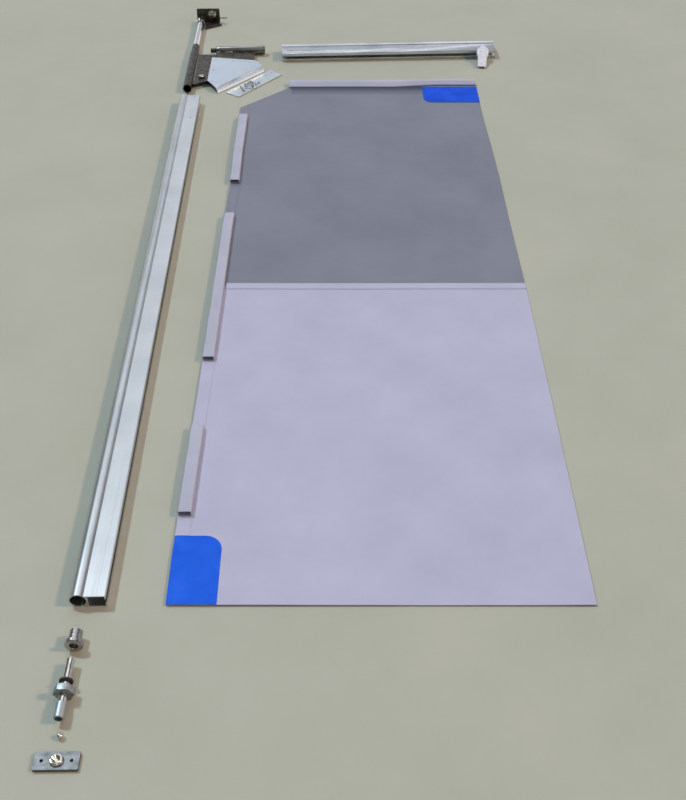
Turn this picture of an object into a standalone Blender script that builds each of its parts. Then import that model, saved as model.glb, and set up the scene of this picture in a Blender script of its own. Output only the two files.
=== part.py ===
"""Swing door leaf kit, laid flat on the floor in the order it goes together.

Frame: metres, +Z up, floor at z = 0. The post lies along Y with its foot end at -Y, the header
arm lies along X at the +Y end, the curtain panel lies between them.
"""

import math

import bpy
from mathutils import Matrix, Vector
from mathutils.geometry import tessellate_polygon

GAP = 0.0003

# Extrusions: a round tube with a slotted channel along one side.
TUBE_R = 0.0190
TUBE_BORE_R = 0.0168
WALL = 0.0022
CHANNEL_H = 0.0330
SLOT_W = 0.0110
CHANNEL_CHAMFER = 0.0015
AXIS_Z = TUBE_R
POST_X = -0.5950
POST_Y = (-1.3940, 0.9620)
POST_CHANNEL_W = 0.0390
ARM_START = (-0.2416, 1.4133)
ARM_TURN = math.radians(1.55)
ARM_L = 0.8640
ARM_CHANNEL_W = 0.0590
FLAT_HOLE_R = 0.0030
POST_HOLES_Y = (0.7784, 0.9476)
ARM_HOLES = (0.0290, 0.0980)
ARM_NOTCH_L = 0.1100

# Corner weldment: plug tube for the post, gusset, stub tube for the arm.
PLUG_R = 0.0165
PLUG_BORE_R = 0.0138
PLUG_Y = (1.0500, 1.3800)
STUB = (-0.2690, -0.0700)
NECK_R = 0.0090
NECK_START = -0.2900
GUSSET_Z = (0.0135, 0.0195)
GUSSET = (
    (-0.5780, 1.090), (-0.5680, 1.090), (-0.5440, 1.110), (-0.5120, 1.118),
    (-0.3520, 1.290), (-0.3520, 1.3930), (-0.5080, 1.3887), (-0.5080, 1.366), (-0.5780, 1.366),
)
GUSSET_BOLT = (-0.5488, 1.1489)
GUSSET_BOLT_R = 0.0110
GUSSET_BOLT_H = 0.0080

# Top pivot: turned shaft in the plug tube, wall bracket at its upper end.
SHAFT_R = 0.0132
SHAFT_Y = (1.3000, 1.7507)
COLLAR_R = 0.0147
COLLAR_Y = (1.3803, 1.4440)
SOCKET_R = 0.0158
SOCKET_Y = (1.6880, 1.7507)
RING_R = 0.0150
RING_Y = (1.6835, 1.6877)
PLATE_X = (-0.6160, -0.5190)
PLATE_Y = (1.7510, 1.7570)
PLATE_H = 0.0590
PLATE_BOLT = (-0.5502, 0.0370)
WEB = ((-0.5770, 1.7500), (-0.5770, 1.6690), (-0.5090, 1.7130), (-0.5400, 1.7500))
WEB_Z = (0.0005, 0.0085)
PIN_R = 0.0020
PIN_END_X = -0.4880
PIN_Z = 0.0180

# Hem end stop: a pointed plastic key leaning on the arm's front edge.
STOP_FOOT = (0.5582, 1.2590)
STOP_LEAN = math.radians(18.8)
STOP_TURN = math.radians(-7.5)
STOP_T = 0.0090
STOP_HALF = (
    (0.0, 0.0166), (0.057, 0.0176), (0.074, 0.0236), (0.090, 0.0234), (0.099, 0.0220),
    (0.119, 0.0050), (0.122, 0.0020),
)
STOP_GROOVE_W = 0.0190
STOP_GROOVE_D = 0.0055
STOP_GROOVE_L = 0.0550

# Corner covers.
COVER_T = 0.0020
COVER_Z = GUSSET_Z[1] + GAP
COVER = (
    (-0.5212, 1.3334), (-0.5236, 1.1175), (-0.4874, 1.0539), (-0.3161, 1.2484), (-0.3191, 1.2595),
    (-0.3431, 1.3011),
)
COVER_HOLES = (
    (-0.5039, 1.3039), (-0.4350, 1.2950), (-0.3695, 1.2852), (-0.5054, 1.2118), (-0.5077, 1.1118),
)
COVER_HOLE_R = 0.0026
FLANGE_Z = 0.0010
FLANGE_REACH = 0.0110
STRIP_ORIGIN = (-0.3978, 1.0097)
STRIP_TURN = math.radians(51.09)
STRIP_L = 0.2560
STRIP_W = 0.0640
STRIP_T = 0.0020
STRIP_LIP = 0.0050
STRIP_HOLE = (0.2430, 0.0470)

# Loose fixings on the second cover.
SCREW_HEAD_R = 0.0042
SCREW_HEAD_H = 0.0030
SCREW_R = 0.0020
SCREW_L = 0.0120
NUT_R = 0.0055
NUT_H = 0.0040
NUT_BORE_R = 0.0024
FIXINGS_TOP = 0.0005 + STRIP_T + GAP
SCREWS = (
    (0.052, 0.014, 20), (0.075, 0.012, 150), (0.098, 0.014, 80), (0.121, 0.016, -30),
    (0.060, 0.033, 100), (0.082, 0.031, -15), (0.104, 0.034, 200), (0.126, 0.036, 65),
    (0.074, 0.051, 40),
)
NUTS = ((0.096, 0.051, 10), (0.112, 0.051, 40), (0.141, 0.022, 25), (0.128, 0.053, 5))

# Foot pivot: bushing, spindle with jam nut, ball, floor plate.
FOOT_X = -0.5840
FLANGE_FACE_Y = -1.5066
FLANGE_R = 0.0187
FLANGE_T = 0.0080
BARREL_R = 0.0133
BARREL_L = 0.0280
BUSH_BORE_R = 0.0090
ROD_R = 0.0082
ROD_Y = (-1.6369, -1.5374)
SLEEVE_R = 0.0100
SLEEVE_Y = (-1.6711, -1.6372)
SLEEVE_BORE_R = 0.0070
SLEEVE_BORE_L = 0.0200
WASHER_R = 0.0138
WASHER_Y = (-1.5905, -1.5870)
JAM_NUT_Y = (-1.6185, -1.6045)
JAM_NUT_FLATS = 0.0372
JAM_NUT_BORE_R = 0.0086
BALL_R = 0.0065
BALL = (-0.5780, -1.6991)
FLOOR_PLATE = (-0.5752, -1.7498)
FLOOR_PLATE_SIZE = (0.0840, 0.0370, 0.0070)
FLOOR_HOLE_X = 0.0277
FLOOR_HOLE_R = 0.0031
CUP_R = 0.0132
CUP_H = 0.0060
CUP_BORE_R = 0.0085

# Curtain panel, in its own frame: x across from the post side, y up the door.
PANEL_ORIGIN = (-0.4145, -1.3960)
PANEL_TURN = math.radians(-1.0)
PANEL_W = 0.8970
PANEL_H = 2.5240
PANEL_Z = (0.0005, 0.0035)
CHAMFER_X = 0.2090
CHAMFER_Y = 2.3150
LAP_Y = (1.1380, 1.1670)
LAP_X = 0.0330
LAP_T = 0.0015
JOIN_Y = 1.1560
SLEEVE_OUT = (0.0300, 0.0150)
SLEEVE_WALL = 0.0018
SLEEVES_Y = ((0.2505, 0.5446), (0.8082, 1.5377), (1.7472, 2.2320))
HEM_X = (0.1680, 0.8930)
HEM_Y = (2.4920, 2.5230)
HEM_H = 0.0140
PATCH_T = 0.0015
PATCH_LOW = (0.1060, 0.1900, 0.0400)
PATCH_HIGH = (0.6800, 2.3560, 2.4890, 0.0350)

X, Y, Z = Vector((1, 0, 0)), Vector((0, 1, 0)), Vector((0, 0, 1))


def clear():
    for obj in list(bpy.data.objects):
        bpy.data.objects.remove(obj)


def material(name, color, metallic, roughness):
    made = bpy.data.materials.new(name)
    made.use_nodes = True
    shader = made.node_tree.nodes["Principled BSDF"]
    shader.inputs["Base Color"].default_value = (*color, 1.0)
    shader.inputs["Metallic"].default_value = metallic
    shader.inputs["Roughness"].default_value = roughness
    return made


def finish(name, verts, faces, look, smooth):
    """Mesh object with outward faces; round pieces are shaded smooth between sharp edges."""
    mesh = bpy.data.meshes.new(name)
    mesh.from_pydata([tuple(v) for v in verts], [], faces)
    mesh.materials.append(material(name, *look))
    corners = [[mesh.vertices[i].co for i in face.vertices] for face in mesh.polygons]
    volume = sum(
        ring[0].dot(ring[i].cross(ring[i + 1])) for ring in corners for i in range(1, len(ring) - 1)
    )
    if volume < 0:
        mesh.flip_normals()
    if smooth:
        mesh.shade_smooth()
        mesh.set_sharp_from_angle(angle=math.radians(35))
    obj = bpy.data.objects.new(name, mesh)
    bpy.context.scene.collection.objects.link(obj)
    return obj


def prism(name, outline, holes, span, look, axes=(X, Y, Z), smooth=False):
    """A flat outline, less its holes, drawn along axes[2] over span."""
    rings = [list(outline)] + [list(hole) for hole in holes]
    flat = [Vector((u, v, 0)) for ring in rings for u, v in ring]
    count = len(flat)
    verts = [axes[0] * p.x + axes[1] * p.y + axes[2] * w for w in span for p in flat]
    caps = tessellate_polygon([[Vector((u, v, 0)) for u, v in ring] for ring in rings])
    faces = [tuple(reversed(face)) for face in caps]
    faces += [tuple(i + count for i in face) for face in caps]
    start = 0
    for ring in rings:
        for i in range(len(ring)):
            a, b = start + i, start + (i + 1) % len(ring)
            faces.append((a, b, b + count, a + count))
        start += len(ring)
    return finish(name, verts, oriented(faces), look, smooth)


def oriented(faces):
    """The same faces, turned so that each shared edge runs opposite ways in its two faces."""
    by_edge = {}
    for index, face in enumerate(faces):
        for a, b in zip(face, face[1:] + face[:1]):
            by_edge.setdefault(frozenset((a, b)), []).append(index)
    turned, seen, stack = list(faces), {0}, [0]
    while stack:
        face = turned[stack.pop()]
        for a, b in zip(face, face[1:] + face[:1]):
            for other in by_edge[frozenset((a, b))]:
                if other in seen:
                    continue
                ring = turned[other]
                if (a, b) in zip(ring, ring[1:] + ring[:1]):
                    turned[other] = tuple(reversed(ring))
                seen.add(other)
                stack.append(other)
    return turned


def turned(name, profile, centre, axis, look, sides=40, ring=False):
    """Points (radius, height) turned about axis through centre; ring closes the profile on itself."""
    side = X if abs(axis.x) < 0.9 else Y
    u = axis.cross(side).normalized()
    v = axis.cross(u)
    verts, rows = [], []
    for radius, height in profile:
        count = sides if radius > 0 else 1
        rows.append(range(len(verts), len(verts) + count))
        for k in range(count):
            angle = 2 * math.pi * k / sides
            out = u * math.cos(angle) + v * math.sin(angle)
            verts.append(Vector(centre) + axis * height + out * radius)
    pairs = list(zip(rows, rows[1:])) + ([(rows[-1], rows[0])] if ring else [])
    faces = []
    for low, high in pairs:
        for k in range(sides):
            m = (k + 1) % sides
            quad = (low[k % len(low)], low[m % len(low)], high[m % len(high)], high[k % len(high)])
            faces.append(tuple(dict.fromkeys(quad)))
    return finish(name, verts, faces, look, True)


def circle(centre, radius, sides=24, start=0.0):
    """Points round a circle, for an outline or a hole."""
    return [
        (
            centre[0] + radius * math.cos(start + 2 * math.pi * k / sides),
            centre[1] + radius * math.sin(start + 2 * math.pi * k / sides),
        )
        for k in range(sides)
    ]


def box_outline(low, high, chamfer):
    (x0, y0), (x1, y1), c = low, high, chamfer
    return [
        (x0 + c, y0), (x1 - c, y0), (x1, y0 + c), (x1, y1 - c), (x1 - c, y1), (x0 + c, y1),
        (x0, y1 - c), (x0, y0 + c),
    ]


def body(name, pivot, objects):
    """An empty on the joint's axis that carries the pieces of one moving body."""
    carrier = bpy.data.objects.new(name, None)
    carrier.empty_display_size = 0.02
    carrier.location = pivot
    bpy.context.scene.collection.objects.link(carrier)
    for obj in objects:
        obj.parent = carrier
        obj.matrix_parent_inverse = Matrix.Translation(-Vector(pivot))
    return carrier


# Looks: colour, metallic, roughness.
ANODISED = ((0.80, 0.81, 0.82), 1.0, 0.30)
BARE_STEEL = ((0.12, 0.11, 0.10), 0.8, 0.45)
CHROME = ((0.80, 0.80, 0.80), 1.0, 0.12)
STEEL = ((0.50, 0.48, 0.46), 1.0, 0.30)
ZINC = ((0.68, 0.70, 0.70), 1.0, 0.30)
SHEET_ALLOY = ((0.66, 0.72, 0.80), 0.6, 0.40)
WHITE_PLASTIC = ((0.85, 0.85, 0.90), 0.0, 0.45)
BLACK_RUBBER = ((0.03, 0.03, 0.03), 0.0, 0.60)
CURTAIN = ((0.46, 0.46, 0.62), 0.0, 0.55)
CURTAIN_DARK = ((0.21, 0.23, 0.28), 0.0, 0.50)
PATCH_BLUE = ((0.03, 0.12, 0.75), 0.0, 0.50)


def extrusion_outline(channel_w):
    """Section of tube and channel: u runs from the tube's axis to the slot, v is the height."""
    rise = CHANNEL_H - AXIS_Z
    top = math.atan2(rise, math.sqrt(TUBE_R**2 - rise**2))
    low = -math.pi / 2
    steps = 34
    arc = [low - (2 * math.pi + low - top) * k / steps for k in range(steps + 1)]
    tube = [(TUBE_R * math.cos(a), AXIS_Z + TUBE_R * math.sin(a)) for a in arc]
    far, near = TUBE_R + channel_w, TUBE_R + WALL
    c = CHANNEL_CHAMFER
    mid, half = CHANNEL_H / 2, SLOT_W / 2
    return tube + [
        (far - c, CHANNEL_H), (far, CHANNEL_H - c), (far, mid + half), (far - WALL, mid + half),
        (far - WALL, CHANNEL_H - WALL), (near, CHANNEL_H - WALL), (near, WALL),
        (far - WALL, WALL), (far - WALL, mid - half), (far, mid - half), (far, c), (far - c, 0.0),
    ]


def combine(target, other, operation):
    other.hide_render = True
    other.display_type = "WIRE"
    boolean = target.modifiers.new(other.name, "BOOLEAN")
    boolean.operation = operation
    boolean.solver = "EXACT"
    boolean.object = other


def subtract(target, cutter):
    """The cutter is drawn in the target's own frame."""
    cutter.location = target.location
    combine(target, cutter, "DIFFERENCE")


def cut(target, name, centre, radius, height):
    """Drills target along Z."""
    low = (centre[0], centre[1], centre[2] - height / 2)
    drill = turned(name, ((0, 0), (radius, 0), (radius, height), (0, height)), low, Z, STEEL, 16)
    combine(target, drill, "DIFFERENCE")


def make_post():
    bore = circle((0, AXIS_Z), TUBE_BORE_R, 36)
    outline = extrusion_outline(POST_CHANNEL_W)
    shifted = [(POST_X + u, v) for u, v in outline]
    hole = [(POST_X + u, v) for u, v in bore]
    post = prism("post_extrusion", shifted, [hole], POST_Y, ANODISED, (X, Z, Y), True)
    for i, y in enumerate(POST_HOLES_Y):
        spot = (POST_X + TUBE_R + POST_CHANNEL_W * 0.47, y, CHANNEL_H)
        cut(post, f"post_hole_cutter_{i}", spot, FLAT_HOLE_R, 0.010)
    return [post]


def arm_axes():
    """Along the arm, and across it away from the panel."""
    turn = Matrix.Rotation(ARM_TURN, 3, "Z")
    return turn @ X, turn @ Y


def arm_point(along, across=0.0, height=0.0):
    ahead, back = arm_axes()
    return Vector((*ARM_START, height)) + ahead * along + back * across


def make_arm():
    """The web between tube and channel is notched at the start, where the gusset's edge enters."""
    ahead, back = arm_axes()
    outline = [(-u, v) for u, v in extrusion_outline(ARM_CHANNEL_W)]
    hole = circle((0, AXIS_Z), TUBE_BORE_R, 36)
    arm = prism("header_extrusion", outline, [hole], (0, ARM_L), ANODISED, (back, Z, ahead), True)
    arm.location = arm_point(0)
    for i, along in enumerate(ARM_HOLES):
        spot = arm_point(along, -TUBE_R - ARM_CHANNEL_W * 0.5, CHANNEL_H)
        cut(arm, f"arm_hole_cutter_{i}", spot, FLAT_HOLE_R, 0.010)
    low, high = GUSSET_Z[0] - 0.001, GUSSET_Z[1] + 0.001
    notch = box_outline((-TUBE_R - WALL - 0.002, low), (-0.010, high), 0.0005)
    subtract(arm, prism("arm_notch_cutter", notch, [], (-0.002, ARM_NOTCH_L), STEEL, (back, Z, ahead)))
    return [arm]


def ring_profile(inner, outer, low, high):
    return ((inner, low), (outer, low), (outer, high), (inner, high))


def hexagon(centre, flats, turn=0.0):
    return circle(centre, flats / math.sqrt(3), 6, turn)


def make_corner():
    on_axis = (POST_X, 0, AXIS_Z)
    plug = turned(
        "corner_plug_tube", ring_profile(PLUG_BORE_R, PLUG_R, *PLUG_Y), on_axis, Y, BARE_STEEL, 40, True
    )
    gusset = prism("corner_gusset", GUSSET, [], GUSSET_Z, BARE_STEEL)
    stub_axis = arm_point(0, 0, AXIS_Z)
    ahead = arm_axes()[0]
    start, end = STUB
    stub_profile = (
        (0, start), (PLUG_R - 0.004, start), (PLUG_R, start + 0.012), (PLUG_R, end - 0.002),
        (PLUG_R - 0.002, end), (PLUG_BORE_R, end), (PLUG_BORE_R, start + 0.060), (0, start + 0.060),
    )
    stub = turned("corner_stub_tube", stub_profile, stub_axis, ahead, BARE_STEEL, 40)
    neck_end = start - GAP
    neck_profile = ((0, NECK_START), (NECK_R, NECK_START), (NECK_R, neck_end), (0, neck_end))
    neck = turned("corner_stub_neck", neck_profile, stub_axis, ahead, BARE_STEEL, 28)
    top = GUSSET_Z[1] + GAP
    bolt = prism(
        "corner_gusset_bolt", hexagon(GUSSET_BOLT, 2 * GUSSET_BOLT_R), [],
        (top, top + GUSSET_BOLT_H), STEEL,
    )
    return [plug, gusset, stub, neck, bolt]


def make_top_pivot():
    on_axis = (POST_X, 0, AXIS_Z)
    start, end = SHAFT_Y
    inner = SHAFT_R + GAP
    shaft_profile = (
        (0, start), (SHAFT_R - 0.002, start), (SHAFT_R, start + 0.002), (SHAFT_R, end), (0, end),
    )
    shaft = turned("pivot_shaft", shaft_profile, on_axis, Y, CHROME)
    collar_profile = ring_profile(inner, COLLAR_R, *COLLAR_Y)
    collar = turned("pivot_thrust_collar", collar_profile, on_axis, Y, BARE_STEEL, 40, True)
    ring = turned(
        "pivot_retaining_ring", ring_profile(inner, RING_R, *RING_Y), on_axis, Y, BLACK_RUBBER, 40, True
    )
    low, high = SOCKET_Y
    socket_profile = (
        (inner, low), (SOCKET_R - 0.0010, low), (SOCKET_R, low + 0.0010), (SOCKET_R, high), (inner, high),
    )
    socket = turned("bracket_socket", socket_profile, on_axis, Y, CHROME, 40, True)
    plate = prism(
        "bracket_plate", box_outline((PLATE_X[0], GAP), (PLATE_X[1], PLATE_H), 0.002), [],
        PLATE_Y, BARE_STEEL, (X, Z, Y),
    )
    web = prism("bracket_web", WEB, [], WEB_Z, BARE_STEEL)
    face = PLATE_Y[0] - GAP
    at = (PLATE_BOLT[0], 0, PLATE_BOLT[1])
    washer = turned(
        "bracket_bolt_washer", ((0, face), (0.0165, face), (0.0165, face - 0.002), (0, face - 0.002)),
        at, Y, ZINC, 32,
    )
    head_face = face - 0.002 - GAP
    head = prism(
        "bracket_bolt_head", hexagon(PLATE_BOLT, 0.024, 0.3), [], (head_face - 0.009, head_face),
        STEEL, (X, Z, Y),
    )
    pin_x = PLATE_X[1] + GAP
    pin_profile = ((0, pin_x), (PIN_R, pin_x), (PIN_R, PIN_END_X), (0, PIN_END_X))
    pin_at = (0, sum(PLATE_Y) / 2, PIN_Z)
    pin = turned("bracket_pin", pin_profile, pin_at, X, BARE_STEEL, 14)
    return [shaft, collar, ring, socket, plate, web, washer, head, pin]


def make_end_stop():
    """Grooved underneath; its foot stands on the floor, its flat back leans on the arm's edge."""
    along = (Y * math.cos(STOP_LEAN) + Z * math.sin(STOP_LEAN)).normalized()
    turn = Matrix.Rotation(STOP_TURN, 3, "Z")
    along = turn @ along
    across = turn @ X
    up = across.cross(along)
    right = [(half, s) for s, half in STOP_HALF]
    left = [(-half, s) for s, half in reversed(STOP_HALF)]
    stop = prism("hem_end_stop", right + left, [], (0, STOP_T), WHITE_PLASTIC, (across, along, up))
    stop.location = (STOP_FOOT[0], STOP_FOOT[1], 0.0006)
    groove = prism(
        "end_stop_groove_cutter",
        box_outline((-STOP_GROOVE_W / 2, -0.004), (STOP_GROOVE_W / 2, STOP_GROOVE_L), 0.001),
        [], (-0.003, STOP_GROOVE_D), WHITE_PLASTIC, (across, along, up),
    )
    subtract(stop, groove)
    return [stop]


def make_front_cover():
    """Pentagon plate with a flange that slopes down and out from its long diagonal edge."""
    holes = [circle(spot, COVER_HOLE_R, 16) for spot in COVER_HOLES]
    plate = prism("front_cover", COVER, holes, (COVER_Z, COVER_Z + COVER_T), SHEET_ALLOY)
    start, end = Vector((*COVER[2], 0)), Vector((*COVER[3], 0))
    along = (end - start).normalized()
    outward = along.cross(Z)
    bend, bend_z = start.dot(outward), COVER_Z + COVER_T / 2
    section = [
        (bend, bend_z), (bend - COVER_T, bend_z),
        (bend + FLANGE_REACH - COVER_T, FLANGE_Z), (bend + FLANGE_REACH, FLANGE_Z),
    ]
    flange = prism(
        "front_cover_flange_source", section, [],
        (start.dot(along) + 0.001, end.dot(along) - 0.001), SHEET_ALLOY, (outward, Z, along),
    )
    combine(plate, flange, "UNION")
    return [plate]


def strip_point(along, across, height=0.0):
    turn = Matrix.Rotation(STRIP_TURN, 3, "Z")
    return Vector((*STRIP_ORIGIN, height)) + turn @ Vector((along, across, 0))


def make_back_cover():
    """Flat cover strip whose near edge is folded up into a lip."""
    low = 0.0005
    section = [
        (0, low), (STRIP_W, low), (STRIP_W, low + STRIP_T), (STRIP_T, low + STRIP_T),
        (STRIP_T, low + STRIP_LIP), (0, low + STRIP_LIP),
    ]
    along = (strip_point(1, 0) - strip_point(0, 0)).normalized()
    across = (strip_point(0, 1) - strip_point(0, 0)).normalized()
    strip = prism("back_cover", section, [], (0, STRIP_L), SHEET_ALLOY, (across, Z, along))
    strip.location = (*STRIP_ORIGIN, 0)
    cut(strip, "back_cover_hole_cutter", strip_point(*STRIP_HOLE, low), COVER_HOLE_R, 0.012)
    return [strip]


def make_fixings():
    pieces = []
    head = SCREW_HEAD_H
    profile = (
        (0, 0), (SCREW_HEAD_R * 0.7, 0), (SCREW_HEAD_R, head * 0.5), (SCREW_HEAD_R, head),
        (SCREW_R, head), (SCREW_R, head + SCREW_L - 0.001), (0, head + SCREW_L),
    )
    for i, (along, across, degrees) in enumerate(SCREWS):
        axis = Matrix.Rotation(math.radians(degrees), 3, "Z") @ X
        centre = strip_point(along, across, FIXINGS_TOP + SCREW_HEAD_R)
        start = centre - axis * (head + SCREW_L) / 2
        pieces.append(turned(f"fixing_screw_{i + 1}", profile, start, axis, ZINC, 12))
    for i, (along, across, degrees) in enumerate(NUTS):
        centre = strip_point(along, across)
        pieces.append(
            prism(
                f"fixing_nut_{i + 1}",
                circle(centre, NUT_R, 6, math.radians(degrees)),
                [circle(centre, NUT_BORE_R, 12)],
                (FIXINGS_TOP, FIXINGS_TOP + NUT_H),
                ZINC,
            )
        )
    return pieces


def make_bushing():
    face, seat = FLANGE_FACE_Y, FLANGE_FACE_Y + FLANGE_T
    profile = (
        (BUSH_BORE_R, face), (FLANGE_R - 0.001, face), (FLANGE_R, face + 0.001), (FLANGE_R, seat),
        (BARREL_R, seat), (BARREL_R, seat + BARREL_L - 0.0015),
        (BARREL_R - 0.0015, seat + BARREL_L), (BUSH_BORE_R, seat + BARREL_L),
    )
    return [turned("foot_bushing", profile, (FOOT_X, 0, AXIS_Z), Y, STEEL, 40, True)]


def make_spindle():
    on_axis = (FOOT_X, 0, AXIS_Z)
    rod_profile = (
        (0, ROD_Y[0]), (ROD_R, ROD_Y[0]), (ROD_R, ROD_Y[1] - 0.0015), (ROD_R - 0.0015, ROD_Y[1]),
        (0, ROD_Y[1]),
    )
    rod = turned("spindle_rod", rod_profile, on_axis, Y, CHROME, 32)
    low, high = SLEEVE_Y
    sleeve_profile = (
        (0, high), (SLEEVE_R, high), (SLEEVE_R, low + 0.001), (SLEEVE_R - 0.001, low),
        (SLEEVE_BORE_R, low), (SLEEVE_BORE_R, low + SLEEVE_BORE_L), (0, low + SLEEVE_BORE_L),
    )
    sleeve = turned("spindle_ball_socket", sleeve_profile, on_axis, Y, ZINC, 32)
    return [rod, sleeve]


def make_washer():
    profile = ring_profile(ROD_R + GAP, WASHER_R, *WASHER_Y)
    return [turned("jam_washer", profile, (FOOT_X, 0, AXIS_Z), Y, BLACK_RUBBER, 36, True)]


def make_jam_nut():
    """Hexagon standing on one of its flats."""
    centre = (FOOT_X, AXIS_Z)
    return [
        prism(
            "jam_nut", hexagon(centre, JAM_NUT_FLATS), [circle(centre, JAM_NUT_BORE_R, 28)],
            JAM_NUT_Y, ZINC, (X, Z, Y),
        )
    ]


def make_ball():
    steps = 12
    profile = [
        (max(0.0, BALL_R * math.sin(math.pi * k / steps)), -BALL_R * math.cos(math.pi * k / steps))
        for k in range(steps + 1)
    ]
    profile[0] = (0, -BALL_R)
    profile[-1] = (0, BALL_R)
    return [turned("pivot_ball", profile, (*BALL, BALL_R + GAP), Z, CHROME, 24)]


def make_floor_plate():
    (x, y), (w, d, t) = FLOOR_PLATE, FLOOR_PLATE_SIZE
    holes = [circle((x + side * FLOOR_HOLE_X, y), FLOOR_HOLE_R, 20) for side in (-1, 1)]
    outline = box_outline((x - w / 2, y - d / 2), (x + w / 2, y + d / 2), 0.0015)
    plate = prism("floor_plate", outline, holes, (0.0005, 0.0005 + t), STEEL)
    base = 0.0005 + t + GAP
    profile = (
        (0, base), (CUP_R, base), (CUP_R - 0.001, base + CUP_H - 0.0015),
        (CUP_R - 0.0025, base + CUP_H), (CUP_BORE_R, base + CUP_H), (0.0030, base + 0.0015),
        (0, base + 0.0015),
    )
    cup = turned("floor_plate_cup", profile, (x, y, 0), Z, CHROME, 32)
    return [plate, cup]


def place_on_panel(obj):
    obj.location = (*PANEL_ORIGIN, 0)
    obj.rotation_euler = (0, 0, PANEL_TURN)
    return obj


def rounded(outline, corner, radius):
    """The outline with one corner replaced by an arc."""
    at = Vector(outline[corner])
    before = (Vector(outline[corner - 1]) - at).normalized()
    after = (Vector(outline[(corner + 1) % len(outline)]) - at).normalized()
    centre = at + (before + after) * radius
    arc = []
    for k in range(9):
        angle = math.pi / 2 * k / 8
        arc.append(tuple(centre - after * radius * math.cos(angle) - before * radius * math.sin(angle)))
    return outline[:corner] + arc + outline[corner + 1:]


def make_sheets():
    low = [(0, 0), (PANEL_W, 0), (PANEL_W, JOIN_Y - GAP / 2), (0, JOIN_Y - GAP / 2)]
    high = [
        (0, JOIN_Y + GAP / 2), (PANEL_W, JOIN_Y + GAP / 2), (PANEL_W, PANEL_H), (CHAMFER_X, PANEL_H),
        (0, CHAMFER_Y),
    ]
    lap = [(LAP_X, LAP_Y[0]), (PANEL_W, LAP_Y[0]), (PANEL_W, LAP_Y[1]), (LAP_X, LAP_Y[1])]
    top = PANEL_Z[1] + GAP
    return [
        prism("curtain_lower", low, [], PANEL_Z, CURTAIN),
        prism("curtain_upper", high, [], PANEL_Z, CURTAIN_DARK),
        prism("curtain_lap_strip", lap, [], (top, top + LAP_T), CURTAIN),
    ]


def make_sleeves():
    base = PANEL_Z[1] + GAP
    wall = SLEEVE_WALL
    pieces = []
    for i, span in enumerate(SLEEVES_Y):
        width, height = SLEEVE_OUT
        outer = box_outline((0, base), (width, base + height), 0.0020)
        inner = box_outline((wall, base + wall), (width - wall, base + height - wall), 0.0008)
        pieces.append(prism(f"edge_sleeve_{i + 1}", outer, [inner], span, CURTAIN, (X, Z, Y)))
    outer = box_outline((HEM_Y[0], base), (HEM_Y[1], base + HEM_H), 0.0020)
    inner = box_outline((HEM_Y[0] + wall, base + wall), (HEM_Y[1] - wall, base + HEM_H - wall), 0.0008)
    pieces.append(prism("hem_sleeve", outer, [inner], HEM_X, CURTAIN, (Y, Z, X)))
    return pieces


def make_patches():
    top = PANEL_Z[1] + GAP
    span = (top, top + PATCH_T)
    w, h, r = PATCH_LOW
    low = rounded([(0, 0), (w, 0), (w, h), (0, h)], 2, r)
    x0, y0, y1, r = PATCH_HIGH
    high = rounded([(x0, y0), (PANEL_W, y0), (PANEL_W, y1), (x0, y1)], 0, r)
    return [
        prism("patch_heel", low, [], span, PATCH_BLUE),
        prism("patch_lead", high, [], span, PATCH_BLUE),
    ]


def make_panel():
    pieces = make_sheets() + make_sleeves() + make_patches()
    return [place_on_panel(piece) for piece in pieces]


def build():
    clear()
    on_axis = (POST_X, PLUG_Y[0], AXIS_Z)
    plate_edge = (FLOOR_PLATE[0], FLOOR_PLATE[1] + FLOOR_PLATE_SIZE[1] / 2, 0)
    body("post", (POST_X, 0, 0), make_post())
    body("corner", on_axis, make_corner())
    body("top_bracket", (POST_X, COLLAR_Y[0], AXIS_Z), make_top_pivot())
    body("header_arm", arm_point(0, 0, AXIS_Z), make_arm())
    body("end_stop", (*STOP_FOOT, 0), make_end_stop())
    body("front_cover_body", (*COVER[1], COVER_Z), make_front_cover())
    body("back_cover_body", (*STRIP_ORIGIN, 0), make_back_cover())
    body("fixings", (*STRIP_ORIGIN, FIXINGS_TOP), make_fixings())
    body("bushing", (FOOT_X, FLANGE_FACE_Y, AXIS_Z), make_bushing())
    body("spindle", (FOOT_X, ROD_Y[1], AXIS_Z), make_spindle())
    body("washer", (FOOT_X, WASHER_Y[0], AXIS_Z), make_washer())
    body("nut", (FOOT_X, JAM_NUT_Y[0], AXIS_Z), make_jam_nut())
    body("ball", (*BALL, BALL_R), make_ball())
    body("floor_plate_body", plate_edge, make_floor_plate())
    body("panel", (*PANEL_ORIGIN, 0), make_panel())


build()
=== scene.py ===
import math

import bpy
from mathutils import Matrix, Vector, noise


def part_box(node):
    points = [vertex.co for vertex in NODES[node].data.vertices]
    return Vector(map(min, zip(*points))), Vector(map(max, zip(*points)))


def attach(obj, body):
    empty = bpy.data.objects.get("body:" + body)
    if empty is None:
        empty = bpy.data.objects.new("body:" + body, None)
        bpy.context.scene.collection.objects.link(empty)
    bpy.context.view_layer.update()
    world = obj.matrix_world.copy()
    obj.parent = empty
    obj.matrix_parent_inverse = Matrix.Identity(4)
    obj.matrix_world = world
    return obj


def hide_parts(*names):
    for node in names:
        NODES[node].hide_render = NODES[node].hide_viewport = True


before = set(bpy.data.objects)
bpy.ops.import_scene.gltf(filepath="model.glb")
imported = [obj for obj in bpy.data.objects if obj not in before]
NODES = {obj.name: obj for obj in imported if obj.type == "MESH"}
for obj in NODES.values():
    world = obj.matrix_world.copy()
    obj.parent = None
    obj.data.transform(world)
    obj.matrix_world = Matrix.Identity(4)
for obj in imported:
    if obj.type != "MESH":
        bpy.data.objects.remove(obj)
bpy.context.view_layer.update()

# The curtain panel's own frame: x across from the post side, y up the door.
PANEL_TURN = math.radians(-1.0)
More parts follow.
